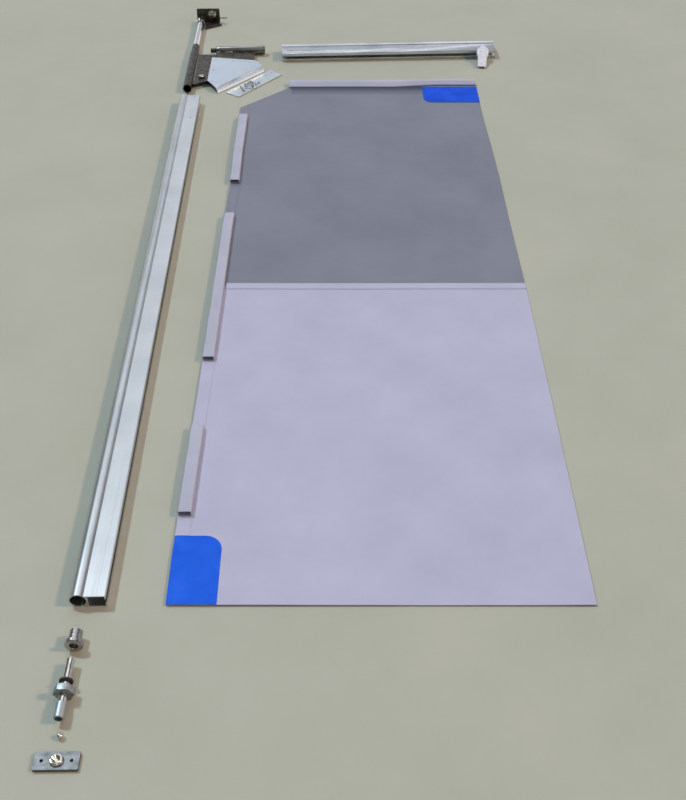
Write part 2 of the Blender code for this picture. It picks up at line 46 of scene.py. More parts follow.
PANEL_W = 0.8970
PANEL_H = 2.5240
JOIN_Y = 1.1560
JOIN_GAP = 0.0002
CHAMFER_X = 0.2090
CHAMFER_Y = 2.3150
SHEET_T = 0.0026
FLOOR_GAP = 0.0006
LAYER_GAP = 0.0002
SHEET_TOP = FLOOR_GAP + SHEET_T
ON_SHEET = SHEET_TOP + LAYER_GAP
CELL = 0.0150

# The folded margin of the post side, and the lap strip over the join.
MARGIN_W = 0.0310
MARGIN_T = 0.0007
LAP_Y = (1.1380, 1.1670)
LAP_X = 0.0330
LAP_T = 0.0012

# The sleeves: three flat ones along the post side, and the hem's across the top.
SLEEVE_W = 0.0300
SLEEVE_H = 0.0150
SLEEVE_WALL = 0.0018
SLEEVES_Y = ((0.2505, 0.5446), (0.8082, 1.5377), (1.7472, 2.2320))
HEM_X = (0.1680, 0.8930)
HEM_Y = (2.4920, 2.5230)
HEM_H = 0.0140
HEM_FRONT = 0.0055
HEM_RIDGE = 0.42
OUTER_ROUND = 0.0026
INNER_ROUND = 0.0012

# How far a sleeve sags, leans and crowns, and how far and how deep its open ends droop.
SAG = 0.0006
LEAN = 0.0010
CROWN = 0.0005
DROOP = 0.0008
MOUTH_L = 0.010

# The patches. Low: width, height, corner radius. High: left, bottom, top, corner radius.
PATCH_T = 0.0012
PATCH_LOW = (0.1060, 0.1900, 0.0400)
PATCH_HIGH = (0.6800, 2.3560, 2.4890, 0.0350)
PATCH_CELL = 0.0080

# The window sheet's doubled edge, which rises into the hem sleeve and thickens as it goes.
FLAP_Y = (2.4320, 2.4795)
FLAP_RISE = 0.0040
FLAP_T = 0.0004

# How the real sheet departs from straight lines: rows of a place along it and a value.
POST_SIDE_BOW = (
    (0.0, 0.0), (0.14, 0.0032), (0.90, 0.0028), (1.45, 0.0050),
    (1.75, 0.0040), (1.95, 0.0088), (2.32, 0.0092),
)
FREE_SIDE_BOW = (
    (0.0, 0.0025), (0.60, 0.0050), (1.10, 0.0055), (1.50, 0.0005),
    (1.80, 0.0), (2.00, -0.0040), (2.26, -0.0100),
)
BOW_REACH = 0.30
HEM_SPLAY = ((0.0, 1.36), (0.56, 1.36), (0.72, 1.0))
HEM_LIFT = ((0.0, 0.0), (0.56, 0.0), (0.72, 0.0080))

# Slow waves of the sheet over the floor: rate across, rate up the door, seed and height.
LIE_MEAN = 0.0014
LIE_WAVES = ((2.2, 1.6, 0.3, 0.0016), (7.0, 5.0, 4.7, 0.0005))

# Stitches: spindles of five points, in lengths along and radii across and up.
STITCH_PITCH = 0.0050
STITCH_L = 0.0034
STITCH_R = 0.00045
STITCH_POINTS = ((-1, 0, 0), (0, 1, 0), (0, 0, 1.3), (0, -1, 0), (1, 0, 0))
STITCH_FACES = ((0, 2, 1), (0, 3, 2), (4, 1, 2), (4, 2, 3), (0, 1, 4), (0, 4, 3))
SEAM_INSET = 0.0050
SEAM_STEP = 0.05

# The bevel on a metal piece's sharp edges, by material.
EDGES = {"zinc_plate": 0.0002, "washer_rubber": 0.0002, "welded_steel": 0.0006}
EDGE = 0.0004

Z = Vector((0, 0, 1))
corner_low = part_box("curtain_lower")[0]
PANEL_ORIGIN = Vector((corner_low.x, corner_low.y - PANEL_W * math.sin(PANEL_TURN), 0))


# Materials


EVEN = (1, 1, 1)
LINE_SCALE = 60.0
# A Wave texture of scale 1 has a band every 2 pi / 20 units.
WAVE_PERIOD = 2 * math.pi / 20


def new_material(name, color, metallic, roughness):
    """A Principled material; returns it with its node tree and shader."""
    made = bpy.data.materials.new(name)
    made.use_nodes = True
    tree = made.node_tree
    shader = tree.nodes["Principled BSDF"]
    shader.inputs["Base Color"].default_value = (*color, 1.0)
    shader.inputs["Metallic"].default_value = metallic
    shader.inputs["Roughness"].default_value = roughness
    return made, tree, shader


def noise_of(tree, scale, stretch=EVEN, detail=3.0, roughness=0.5):
    """Noise over the piece's own coordinates, with its grain stretched per axis."""
    coords = tree.nodes.new("ShaderNodeTexCoord")
    mapping = tree.nodes.new("ShaderNodeMapping")
    mapping.inputs["Scale"].default_value = stretch
    texture = tree.nodes.new("ShaderNodeTexNoise")
    texture.inputs["Scale"].default_value = scale
    texture.inputs["Detail"].default_value = detail
    texture.inputs["Roughness"].default_value = roughness
    tree.links.new(coords.outputs["Object"], mapping.inputs["Vector"])
    tree.links.new(mapping.outputs["Vector"], texture.inputs["Vector"])
    return texture.outputs["Fac"]


def ramp_of(tree, fac, stops):
    """Colour ramp of (position, colour) stops."""
    ramp = tree.nodes.new("ShaderNodeValToRGB")
    elements = ramp.color_ramp.elements
    elements[0].position, elements[0].color = stops[0][0], (*stops[0][1], 1.0)
    elements[1].position, elements[1].color = stops[-1][0], (*stops[-1][1], 1.0)
    for position, color in stops[1:-1]:
        elements.new(position).color = (*color, 1.0)
    tree.links.new(fac, ramp.inputs["Fac"])
    return ramp.outputs["Color"]


def range_of(tree, fac, low, high, source=(0.3, 0.7)):
    """fac from the source range to low..high; noise lies mostly in the default range."""
    node = tree.nodes.new("ShaderNodeMapRange")
    node.inputs["From Min"].default_value = source[0]
    node.inputs["From Max"].default_value = source[1]
    node.inputs["To Min"].default_value = low
    node.inputs["To Max"].default_value = high
    tree.links.new(fac, node.inputs["Value"])
    return node.outputs["Result"]


def bump_of(tree, shader, height, distance):
    """Relief from height, distance metres deep."""
    bump = tree.nodes.new("ShaderNodeBump")
    bump.inputs["Strength"].default_value = 1.0
    bump.inputs["Distance"].default_value = distance
    tree.links.new(height, bump.inputs["Height"])
    tree.links.new(bump.outputs["Normal"], shader.inputs["Normal"])


def maths(tree, operation, first, second):
    """A Math node; each side is a socket or a number."""
    node = tree.nodes.new("ShaderNodeMath")
    node.operation = operation
    for side, socket in zip((first, second), node.inputs):
        if isinstance(side, float):
            socket.default_value = side
        else:
            tree.links.new(side, socket)
    return node.outputs["Value"]


def metal(name, dark, light, roughness, grain=EVEN, swing=0.08, scratch=0.00002, stains=9.0):
    """Metal with drawn or turned lines along grain. Roughness swings with them, and tone with stains."""
    made, tree, shader = new_material(name, light, 1.0, roughness)
    lines = noise_of(tree, LINE_SCALE, grain, detail=4.0, roughness=0.6)
    stain = noise_of(tree, stains, detail=4.0)
    tone = ramp_of(tree, stain, ((0.30, dark), (0.62, light)))
    tree.links.new(tone, shader.inputs["Base Color"])
    rough = range_of(tree, lines, roughness - swing, roughness + swing)
    tree.links.new(rough, shader.inputs["Roughness"])
    bump_of(tree, shader, lines, scratch)
    return made


def sheeting(name, dark, light, roughness, pitch, depth, drift=5.0, sheen=0.08, gloss=0.35):
    """Coated fabric: a fine woven relief under the coating, tone that drifts over the sheet."""
    made, tree, shader = new_material(name, light, 0.0, roughness)
    shader.inputs["Sheen Weight"].default_value = sheen
    shader.inputs["Specular IOR Level"].default_value = gloss
    broad = noise_of(tree, drift, detail=4.0, roughness=0.6)
    tone = ramp_of(tree, broad, ((0.32, dark), (0.66, light)))
    tree.links.new(tone, shader.inputs["Base Color"])
    rough = range_of(tree, broad, roughness + 0.06, roughness - 0.06)
    tree.links.new(rough, shader.inputs["Roughness"])
    coords = tree.nodes.new("ShaderNodeTexCoord")
    threads = []
    for direction in ("X", "Y"):
        wave = tree.nodes.new("ShaderNodeTexWave")
        wave.bands_direction = direction
        wave.inputs["Scale"].default_value = WAVE_PERIOD / pitch
        wave.inputs["Distortion"].default_value = 0.6
        tree.links.new(coords.outputs["Object"], wave.inputs["Vector"])
        threads.append(wave.outputs["Fac"])
    bump_of(tree, shader, maths(tree, "MULTIPLY", *threads), depth)
    return made


def painted_shade_sheeting(name, stops):
    """The window's doubled edge, with painted shade: its colour darkens from where it parts from the sheet
    to the hem, standing in for the hem sleeve's shadow.
    """
    made, tree, shader = new_material(name, stops[0][1], 0.0, 0.46)
    shader.inputs["Specular IOR Level"].default_value = 0.25
    coords = tree.nodes.new("ShaderNodeTexCoord")
    turned = tree.nodes.new("ShaderNodeMapping")
    turned.inputs["Rotation"].default_value = (0.0, 0.0, -PANEL_TURN)
    split = tree.nodes.new("ShaderNodeSeparateXYZ")
    tree.links.new(coords.outputs["Object"], turned.inputs["Vector"])
    tree.links.new(turned.outputs["Vector"], split.inputs["Vector"])
    start = (Matrix.Rotation(-PANEL_TURN, 3, "Z") @ PANEL_ORIGIN).y
    # Painted shade: the colour runs from the first stop's tone to the last one's, up the flap towards the
    # hem.
    place_up = range_of(tree, split.outputs["Y"], 0.0, 1.0, (start + FLAP_Y[0], start + FLAP_Y[1]))
    tree.links.new(ramp_of(tree, place_up, stops), shader.inputs["Base Color"])
    bump_of(tree, shader, noise_of(tree, 300.0), 0.00003)
    return made


def plastic(name, dark, light, roughness, scale, depth):
    """Moulded plastic, rubber or thread, with a grain of its own scale."""
    made, tree, shader = new_material(name, light, 0.0, roughness)
    grain = noise_of(tree, scale, detail=4.0)
    tree.links.new(ramp_of(tree, grain, ((0.3, dark), (0.65, light))), shader.inputs["Base Color"])
    rough = range_of(tree, grain, roughness + 0.05, roughness - 0.05)
    tree.links.new(rough, shader.inputs["Roughness"])
    bump_of(tree, shader, grain, depth)
    return made


def painted_by(nodes, look):
    """Gives CAD nodes this material alone."""
    for node in nodes:
        mesh = NODES[node].data
        mesh.materials.clear()
        mesh.materials.append(look)


ALONG_X = (0.02, 3.0, 3.0)
ALONG_Y = (3.0, 0.02, 3.0)
TURNED = (0.3, 9.0, 0.3)
BRUSHED = (0.6, 2, 2)

post_alloy = metal(
    "post_alloy", (0.54, 0.56, 0.57), (0.62, 0.635, 0.64), 0.30, ALONG_Y, swing=0.04, scratch=0.000006,
)
arm_alloy = metal("arm_alloy", (0.54, 0.56, 0.59), (0.69, 0.70, 0.72), 0.28, ALONG_X)
welded_steel = metal(
    "welded_steel", (0.022, 0.019, 0.015), (0.120, 0.108, 0.090), 0.40,
    swing=0.14, scratch=0.0004, stains=70.0,
)
weld_metal = metal(
    "weld_metal", (0.100, 0.088, 0.068), (0.560, 0.500, 0.390), 0.34,
    swing=0.12, scratch=0.0002, stains=150.0,
)
stub_steel = metal("stub_steel", (0.20, 0.20, 0.18), (0.36, 0.36, 0.33), 0.32, ALONG_X, swing=0.10)
chrome = metal(
    "shaft_chrome", (0.66, 0.64, 0.61), (0.90, 0.89, 0.87), 0.09, TURNED, swing=0.03, scratch=0.000005,
)
spindle_chrome = metal(
    "spindle_chrome", (0.52, 0.48, 0.44), (0.84, 0.79, 0.72), 0.09, TURNED,
    swing=0.03, scratch=0.000005, stains=120.0,
)
turned_steel = metal("turned_steel", (0.30, 0.28, 0.26), (0.52, 0.49, 0.46), 0.24, TURNED, swing=0.07)
plate_steel = metal("plate_steel", (0.13, 0.13, 0.135), (0.22, 0.22, 0.225), 0.50, ALONG_X, stains=60.0)
zinc = metal("zinc_plate", (0.42, 0.43, 0.43), (0.70, 0.71, 0.70), 0.26)
satin_zinc = metal("satin_zinc", (0.30, 0.33, 0.35), (0.44, 0.48, 0.51), 0.50, TURNED, swing=0.06)
nut_zinc = metal("nut_zinc", (0.22, 0.24, 0.24), (0.40, 0.43, 0.44), 0.48, stains=110.0)
cover_alloy = metal("cover_alloy", (0.60, 0.66, 0.72), (0.67, 0.73, 0.79), 0.34, BRUSHED, swing=0.07)
cup_brass = metal("cup_polish", (0.60, 0.55, 0.44), (0.86, 0.82, 0.72), 0.12, TURNED, swing=0.04)

key_plastic = plastic("key_plastic", (0.58, 0.58, 0.66), (0.80, 0.80, 0.88), 0.42, 120.0, 0.00005)
washer_rubber = plastic("washer_rubber", (0.010, 0.010, 0.010), (0.035, 0.035, 0.035), 0.5, 300.0, 0.0001)
thread = plastic("thread", (0.30, 0.31, 0.46), (0.40, 0.41, 0.56), 0.7, 500.0, 0.00005)
thread_dim = plastic("thread_dim", (0.10, 0.11, 0.17), (0.16, 0.17, 0.25), 0.7, 500.0, 0.00005)
thread_blue = plastic("thread_blue", (0.02, 0.10, 0.55), (0.06, 0.22, 0.80), 0.7, 500.0, 0.00005)

vinyl = sheeting("vinyl", (0.400, 0.405, 0.560), (0.445, 0.450, 0.610), 0.52, pitch=0.0016, depth=0.00004)
vinyl_edge = sheeting(
    "vinyl_edge", (0.360, 0.375, 0.480), (0.430, 0.440, 0.570), 0.46, pitch=0.0016, depth=0.00004,
)
window = sheeting(
    "window", (0.148, 0.164, 0.219), (0.184, 0.200, 0.265), 0.44, pitch=0.0012, depth=0.00003, drift=3.0,
)
# Painted shade: the flap's colour falls from the window's own tone to near black at the hem, painting the
# hem sleeve's shadow on the sheet.
hem_flap_shade = painted_shade_sheeting(
    "hem_flap_shade", ((0.0, (0.166, 0.182, 0.240)), (0.45, (0.100, 0.110, 0.165)), (1.0, (0.026, 0.030, 0.062))),
)
patch_blue, patch_deep = (
    sheeting(name, dark, light, 0.60, pitch=0.0022, depth=0.00010, drift=14.0, sheen=0.0, gloss=0.12)
    for name, dark, light in (
        ("patch_blue", (0.006, 0.085, 0.660), (0.012, 0.125, 0.800)),
        ("patch_deep", (0.002, 0.058, 0.600), (0.005, 0.086, 0.730)),
    )
)


# Meshes


def mesh_piece(name, verts, faces, look, body, slot, smooth_angle=40):
    """A shown piece from its points and faces, riding on body."""
    mesh = bpy.data.meshes.new(name)
    mesh.from_pydata([tuple(v) for v in verts], [], faces)
    mesh.materials.append(look)
    mesh.shade_smooth()
    mesh.set_sharp_from_angle(angle=math.radians(smooth_angle))
    piece = bpy.data.objects.new(name, mesh)
    bpy.context.scene.collection.objects.link(piece)
    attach(piece, body)
    return piece


def add_bevel(piece, width, segments, angle):
    """Breaks the piece's edges that are sharper than angle degrees."""
    bevel = piece.modifiers.new("edge", "BEVEL")
    bevel.width = width
    bevel.segments = segments
    bevel.limit_method = "ANGLE"
    bevel.angle_limit = math.radians(angle)


def spread(low, high, step):
    """Even values from low to high, no further apart than step."""
    count = max(2, math.ceil((high - low) / step) + 1)
    return [low + (high - low) * k / (count - 1) for k in range(count)]


def between(table, y):
    """A value from (y, value) rows, straight between them."""
    for (y0, v0), (y1, v1) in zip(table, table[1:]):
        if y <= y1:
            return v0 + (v1 - v0) * max(0.0, y - y0) / (y1 - y0)
    return table[-1][1]


def bow(y):
    """How far the curtain's post side lies outside a straight line, at y."""
    return between(POST_SIDE_BOW, y)


def flare(y):
    """How far the curtain's free side lies outside a straight line, at y."""
    return between(FREE_SIDE_BOW, y)


def lie(x, y):
    """How far the curtain stands off the floor at a place, from its slow waves."""
    height = LIE_MEAN
    for across_rate, up_rate, seed, size in LIE_WAVES:
        height += size * noise.noise(Vector((across_rate * x, up_rate * y, seed)))
    return height


def place(x, y, z):
    """A point of the curtain in the row frame; z is above the floor it lies on."""
    fade = max(0.0, 1.0 - max(x, 0.0) / BOW_REACH)
    far_fade = max(0.0, 1.0 - max(PANEL_W - x, 0.0) / BOW_REACH)
    turn = Matrix.Rotation(PANEL_TURN, 3, "Z")
    flat = turn @ Vector((x - bow(y) * fade + flare(y) * far_fade, y, 0))
    return PANEL_ORIGIN + flat + Z * (z + max(0.0, lie(x, y)))


def two_layers(rows, columns, point):
    """Two layers of points placed by point(top, row, column), joined round their rim."""
    verts = [point(top, j, k) for top in (0, 1) for j in range(rows) for k in range(columns)]
    layer, faces = rows * columns, []
    for j in range(rows - 1):
        for k in range(columns - 1):
            a = j * columns + k
            quad = (a, a + 1, a + 1 + columns, a + columns)
            faces.append(tuple(reversed(quad)))
            faces.append(tuple(i + layer for i in quad))
    last = (rows - 1) * columns
    rim = list(range(columns)) + [j * columns + columns - 1 for j in range(1, rows)]
    rim += [last + k for k in range(columns - 2, -1, -1)] + [j * columns for j in range(rows - 2, 0, -1)]
    for a, b in zip(rim, rim[1:] + rim[:1]):
        faces.append((a, b, b + layer, a + layer))
    return verts, faces


def cloth(name, ys, left, right, base, thick, look, slot, cell=CELL):
    """A cut sheet: rows at ys, each from left(y) to right(y), closed round its edges."""
    widest = max(right(y) - left(y) for y in ys)
    columns = max(3, math.ceil(widest / cell) + 1)

    def point(top, j, k):
        start, end = left(ys[j]), right(ys[j])
        return place(start + (end - start) * k / (columns - 1), ys[j], base + top * thick)

    verts, faces = two_layers(len(ys), columns, point)
    piece = mesh_piece(name, verts, faces, look, "panel", slot)
    add_bevel(piece, min(0.0005, thick * 0.35), 2, 50)
    return piece


def stitches(name, points, height, look, slot):
    """A row of small spindle-shaped stitches along a line of panel points."""
    points = [Vector(point) for point in points]
    verts, faces, carry = [], [], STITCH_PITCH / 2
    for a, b in zip(points, points[1:]):
        length = (b - a).length
        ahead = (b - a) / length
        side = Vector((-ahead.y, ahead.x))
        while carry < length:
            mid = a + ahead * carry
            n = len(verts)
            for along, aside, up in STITCH_POINTS:
                spot = mid + ahead * along * STITCH_L / 2 + side * aside * STITCH_R
                verts.append(place(spot.x, spot.y, height + up * STITCH_R))
            for face in STITCH_FACES:
                faces.append(tuple(n + k for k in face))
            carry += STITCH_PITCH
        carry -= length
    return mesh_piece(name, verts, faces, look, "panel", slot, 80)


def rounded(corners, radius, steps=5):
    """The outline of a convex section with its corners rounded."""
    points = []
    for k, corner in enumerate(corners):
        here, before = Vector(corner), Vector(corners[k - 1])
        after = Vector(corners[(k + 1) % len(corners)])
        start = here + (before - here).normalized() * radius
        end = here + (after - here).normalized() * radius
        for step in range(steps + 1):
            t = step / steps
            points.append(tuple(start * (1 - t) ** 2 + here * 2 * t * (1 - t) + end * t**2))
    return points


def flat_box(width, height):
    """Outer and inner corners of a flat sleeve."""
    w = SLEEVE_WALL
    outer = [(0, 0), (width, 0), (width, height), (0, height)]
    inner = [(w, w), (width - w, w), (width - w, height - w), (w, height - w)]
    return outer, inner


def hem_wedge(width, height):
    """Outer and inner corners of the hem sleeve, which slopes down to its front edge."""
    w, front, ridge = SLEEVE_WALL, HEM_FRONT, HEM_RIDGE * width
    outer = [(0, 0), (width, 0), (width, front), (ridge, height), (0, height)]
    inner = [
        (w, w), (width - w, w), (width - w, front - 0.0010), (ridge - 0.0006, height - w), (w, height - w),
    ]
    return outer, inner


def sleeve(name, span, width, height, section, spot, seed):
    """A tube of sheet, open at both ends, which sags, leans and droops a little along its length.

    spot(s, u, z) places a point s along the tube, u across it and z up.
    """
    corners, hollow = section(width, height)
    outer, inner = rounded(corners, OUTER_ROUND), rounded(hollow, INNER_ROUND)
    stations = spread(*span, 0.012)
    verts, faces, count = [], [], len(outer)
    for s in stations:
        sag = SAG * noise.noise(Vector((9 * s, seed, 0.0)))
        lean = LEAN * noise.noise(Vector((14 * s, seed, 7.0)))
        mouth = min(s - span[0], span[1] - s)
        droop = DROOP * math.exp(-mouth / MOUTH_L)
        for ring in (outer, inner):
            for u, v in ring:
                lift = v / height
                crown = CROWN * math.sin(math.pi * min(1, max(0, u / width))) * lift
                verts.append(spot(s, u + lean * lift, ON_SHEET + v + (sag + crown - droop) * lift))
    for j in range(len(stations) - 1):
        for k in range(count):
            m, a, b = (k + 1) % count, j * 2 * count, (j + 1) * 2 * count
            faces.append((a + k, a + m, b + m, b + k))
            faces.append((a + count + m, a + count + k, b + count + k, b + count + m))
    end = (len(stations) - 1) * 2 * count
    for k in range(count):
        m = (k + 1) % count
        faces.append((m, k, count + k, count + m))
        faces.append((end + k, end + m, end + count + m, end + count + k))
    return mesh_piece(name, verts, faces, vinyl_edge, "panel", "curtain", 50)


def left_edge(y):
    """The panel's left edge at y, past its cut corner."""
    return max(0.0, (y - CHAMFER_Y) / (PANEL_H - CHAMFER_Y)) * CHAMFER_X


def across(value):
    """An edge at the same x for every y."""
    return lambda y: value


def make_sheets():
    """The lower sheet, the window sheet and the lap strip over their join."""
    lower = cloth(
        "curtain_lower_sheet", spread(0.0, JOIN_Y - JOIN_GAP, CELL), across(0.0), across(PANEL_W),
        FLOOR_GAP, SHEET_T, vinyl, "curtain",
    )
    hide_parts("curtain_lower")
    upper_rows = spread(JOIN_Y + JOIN_GAP, CHAMFER_Y, CELL) + spread(CHAMFER_Y, PANEL_H, CELL)[1:]
    upper = cloth(
        "curtain_upper_sheet", upper_rows, left_edge, across(PANEL_W),
        FLOOR_GAP, SHEET_T, window, "curtain_window",
    )
    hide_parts("curtain_upper")
    lap = cloth(
        "curtain_lap", spread(*LAP_Y, 0.008), across(LAP_X), across(PANEL_W),
        ON_SHEET, LAP_T, vinyl, "curtain",
    )
    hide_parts("curtain_lap_strip")
    return lower, upper, lap


def make_margins():
    """The folded border along the post side, seen between the heel patch and the sleeves."""
    clear = 0.001
    starts = [PATCH_LOW[1] + clear] + [end + clear for _, end in SLEEVES_Y]
    ends = [start - clear for start, _ in SLEEVES_Y] + [CHAMFER_Y]
    for i, (start, end) in enumerate(zip(starts, ends)):
        look, slot = (vinyl, "curtain") if end < JOIN_Y else (window, "curtain_window")
        cloth(
            f"curtain_margin_{i + 1}", spread(start, end, CELL), left_edge, across(MARGIN_W),
            ON_SHEET, MARGIN_T, look, slot, cell=0.010,
        )


def patch_right(y):
    """The heel patch's right edge at y, round its top corner."""
    width, height, radius = PATCH_LOW
    rise = max(0.0, y - (height - radius))
    return width - radius + math.sqrt(max(0.0, radius**2 - rise**2))


def patch_left(y):
    """The lead patch's left edge at y, round its bottom corner."""
    x0, y0, _, radius = PATCH_HIGH
    drop = max(0.0, y0 + radius - y)
    return x0 + radius - math.sqrt(max(0.0, radius**2 - drop**2))


def arc_rows(centre, radius, start, end, steps=10):
    """Row heights that follow a quarter circle evenly."""
    return [centre + radius * math.sin(start + (end - start) * k / steps) for k in range(steps + 1)]


def make_patches():
    """The heel patch and the lead-corner patch, each with one rounded corner."""
    quarter = math.pi / 2 * 0.98
    width, height, radius = PATCH_LOW
    rows = spread(0.0, height - radius, CELL)[:-1] + arc_rows(height - radius, radius, 0.0, quarter)
    heel = cloth(
        "heel_patch", rows, across(0.0), patch_right,
        ON_SHEET, PATCH_T, patch_blue, "patch_blue", PATCH_CELL,
    )
    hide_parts("patch_heel")
    _, bottom, top, radius = PATCH_HIGH
    rows = arc_rows(bottom + radius, radius, -quarter, 0.0) + spread(bottom + radius, top, CELL)[1:]
    lead = cloth(
        "lead_patch", rows, patch_left, across(PANEL_W),
        ON_SHEET, PATCH_T, patch_deep, "patch_blue", PATCH_CELL,
    )
    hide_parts("patch_lead")
    return heel, lead


def on_post_side(s, u, z):
    """A point of a sleeve that runs up the post side."""
    return place(u, s, z)


def on_hem(s, u, z):
    """A point of the hem sleeve, which runs across and hangs forward from its back edge."""
    return place(s, HEM_Y[1] + between(HEM_LIFT, s) - u * between(HEM_SPLAY, s), z)


def make_sleeves():
    for i, span in enumerate(SLEEVES_Y):
        edge = sleeve(f"curtain_sleeve_{i + 1}", span, SLEEVE_W, SLEEVE_H, flat_box, on_post_side, 3.1 * i)
        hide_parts(f"edge_sleeve_{i + 1}")
    hem = sleeve("curtain_hem", HEM_X, HEM_Y[1] - HEM_Y[0], HEM_H, hem_wedge, on_hem, 11.0)
    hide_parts("hem_sleeve")


def arc_points(centre, radius, start, end, steps=8):
    """Points along a circle's arc."""
    angles = [start + (end - start) * k / steps for k in range(steps + 1)]
    return [(centre[0] + radius * math.cos(a), centre[1] + radius * math.sin(a)) for a in angles]


def make_seams():
    """Rows of stitching along the patches, the lap and the border."""
    inset = SEAM_INSET
    far = PANEL_W - inset
    width, height, radius = PATCH_LOW
    bend = arc_points((width - radius, height - radius), radius - inset, 0.0, math.pi / 2)
    corner = (width - inset, inset)
    heel = [corner, *bend, (inset, height - inset), (inset, inset), corner]
    left, bottom, top, radius = PATCH_HIGH
    bend = arc_points((left + radius, bottom + radius), radius - inset, math.pi, math.pi * 1.5)
    corner = (left + inset, top - inset)
    lead = [corner, *bend, (far, bottom + inset), (far, top - inset), corner]
    seams = [
        stitches("heel_stitching", heel, ON_SHEET + PATCH_T, thread_blue, "patch_blue"),
        stitches("lead_stitching", lead, ON_SHEET + PATCH_T, thread_blue, "patch_blue"),
    ]
    for i, y in enumerate((LAP_Y[0] + inset, LAP_Y[1] - inset)):
        line = [(x, y) for x in spread(LAP_X + inset, far, SEAM_STEP)]
        seams.append(stitches(f"lap_stitching_{i + 1}", line, ON_SHEET + LAP_T, thread, "curtain"))
    for name, span, look, slot in (
        ("border_stitching_low", (PATCH_LOW[1] + 0.004, LAP_Y[0] - 0.004), thread, "curtain"),
        ("border_stitching_high", (LAP_Y[1] + 0.004, CHAMFER_Y), thread_dim, "curtain_window"),
    ):
        line = [(MARGIN_W + 0.0025, y) for y in spread(*span, SEAM_STEP)]
        seams.append(stitches(name, line, SHEET_TOP, look, slot))
    return seams


def make_hem_flap():
    """The doubled edge of the window sheet that runs up into the hem sleeve; its material is painted shade,
    the hem sleeve's shadow painted on it.
    """
    rows = spread(*FLAP_Y, 0.006)
    left, right = HEM_X[0] + 0.012, PATCH_HIGH[0] - 0.0005
    columns = math.ceil((right - left) / CELL) + 1

    def point(top, j, k):
        y = rows[j]
        way_up = (y - FLAP_Y[0]) / (FLAP_Y[1] - FLAP_Y[0])
        start = max(left, left_edge(y) + 0.002)
        height = ON_SHEET + FLAP_RISE * way_up**2 + top * FLAP_T * (1 + way_up)
        return place(start + (right - start) * k / (columns - 1), y, height)

    verts, faces = two_layers(len(rows), columns, point)
    mesh_piece("curtain_hem_flap", verts, faces, hem_flap_shade, "panel", "curtain_window")


def make_curtain():
    lower, upper, lap = make_sheets()
    make_margins()
    make_hem_flap()
    heel, lead = make_patches()
    make_sleeves()
    seams = make_seams()


# The metal


WELD_RIPPLE_L = 0.0011
WELD_SIDES = 12


def smoothed(nodes, bevel_width, angle=35):
    """Rounds the shading of turned and drawn pieces, and bevels their sharp edges by bevel_width."""
    for node in nodes:
        piece = NODES[node]
        flat_normals = piece.data.attributes.get("custom_normal")
        if flat_normals:
            piece.data.attributes.remove(flat_normals)
        piece.data.shade_smooth()
        weld = piece.modifiers.new("weld", "WELD")
        weld.merge_threshold = 0.00001
        add_bevel(piece, bevel_width, 1, 45)
        split = piece.modifiers.new("split", "EDGE_SPLIT")
        split.split_angle = math.radians(angle)
        split.use_edge_sharp = False


def weld_bead(name, start, end, radius, seed):
    """A laid weld: overlapping ripples along a line, half sunk in what it joins."""
    start, end = Vector(start), Vector(end)
    ahead = (end - start).normalized()
    side = ahead.cross(Z).normalized()
    count = math.ceil((end - start).length / WELD_RIPPLE_L)
    verts, faces, sides = [], [], WELD_SIDES
    for j in range(count + 1):
        along = j / count
        taper = min(1.0, 4 * along + 0.25, 4 * (1 - along) + 0.25)
        ripple = 1 + 0.16 * abs(math.sin(j * 0.75)) + 0.22 * noise.noise(Vector((j * 0.17, seed, 0)))
        size = radius * taper * ripple
        shift = 0.0006 * noise.noise(Vector((j * 0.11, seed, 5.0)))
        middle = start.lerp(end, along) + side * shift
        for k in range(sides):
            angle = 2 * math.pi * k / sides
            verts.append(middle + side * math.cos(angle) * size + Z * math.sin(angle) * size * 0.8)
    for j in range(count):
        for k in range(sides):
            a, b = j * sides + k, j * sides + (k + 1) % sides
            faces.append((a, b, b + sides, a + sides))
    faces.append(tuple(range(sides - 1, -1, -1)))
    faces.append(tuple(count * sides + k for k in range(sides)))
    mesh_piece(name, verts, faces, weld_metal, "corner", "bare_steel")


def make_welds():
    """Beads on the gusset's top face: a long one at the plug tube, and two short ones at the stub tube."""
    tube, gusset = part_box("corner_plug_tube"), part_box("corner_gusset")
    top = gusset[1].z - 0.0004
    edge = tube[1].x + 0.0006
    foot, head = gusset[0].y + 0.004, tube[1].y - 0.016
    weld_bead("weld_tube_gusset", (edge, foot, top), (edge, head, top), 0.0020, 1.0)
    stub_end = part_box("corner_stub_tube")[0].x
    for name, span, depths, radius, seed in (
        ("weld_stub_gusset", (0.03684, 0.06884), (0.0034, 0.0026), 0.0030, 2.0),
        ("weld_stub_tack", (0.00484, 0.02084), (0.0042, 0.0038), 0.0036, 3.0),
    ):
        start, end = ((stub_end + x, gusset[1].y - depth, top) for x, depth in zip(span, depths))
        weld_bead(name, start, end, radius, seed)


